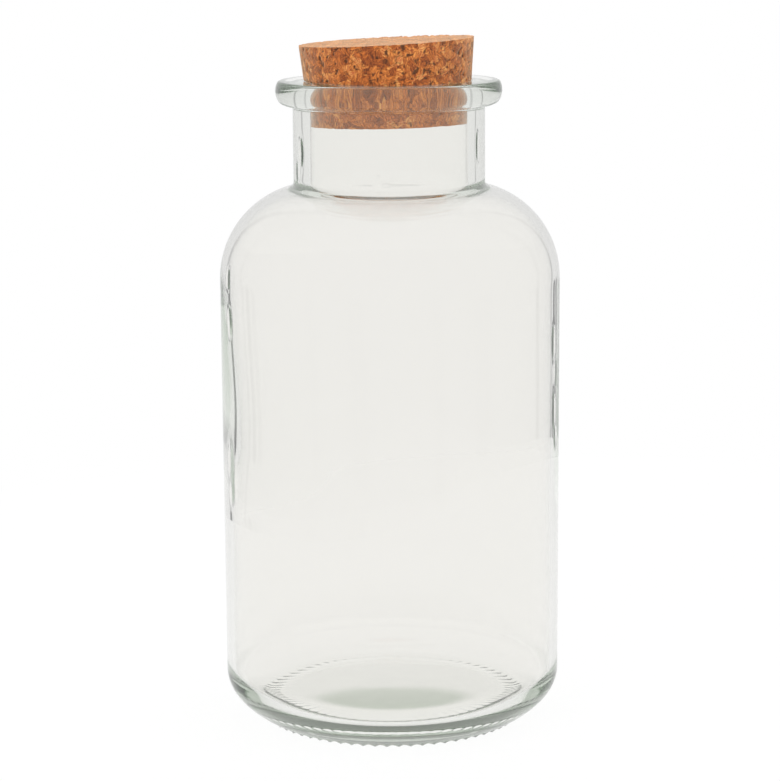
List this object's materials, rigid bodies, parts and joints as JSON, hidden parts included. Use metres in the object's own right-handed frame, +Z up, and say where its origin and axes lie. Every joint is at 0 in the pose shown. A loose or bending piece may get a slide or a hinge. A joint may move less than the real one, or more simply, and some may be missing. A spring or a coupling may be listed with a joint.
{
  "type": "glass jar with cork stopper",
  "caption": "Wide-mouthed clear glass storage jar with a flanged neck, knurled standing ring and a tapered agglomerated cork stopper that lifts out.",
  "frame": {"origin": "on the surface that the jar stands on, on the axis of the glass", "axes": "+Z up along the axis of the glass; -Y faces the picture's camera, +X is to its right; the stopper leans towards -X"},
  "size_m": [0.098, 0.098, 0.1983],
  "materials": {
    "glass": "clear soda-lime glass, smooth blown surface, faint green in the thick edges",
    "cork": "agglomerated cork, bonded granules, sanded"
  },
  "bodies": {
    "jar": {"glass_jar": "glass"},
    "stopper": {"cork_stopper": "cork"}
  },
  "joints": [
    {"name": "stopper_lift", "type": "slide", "parent": "jar", "child": "stopper", "axis": [0, 0, 1], "range_m": [0, 0.08]}
  ]
}
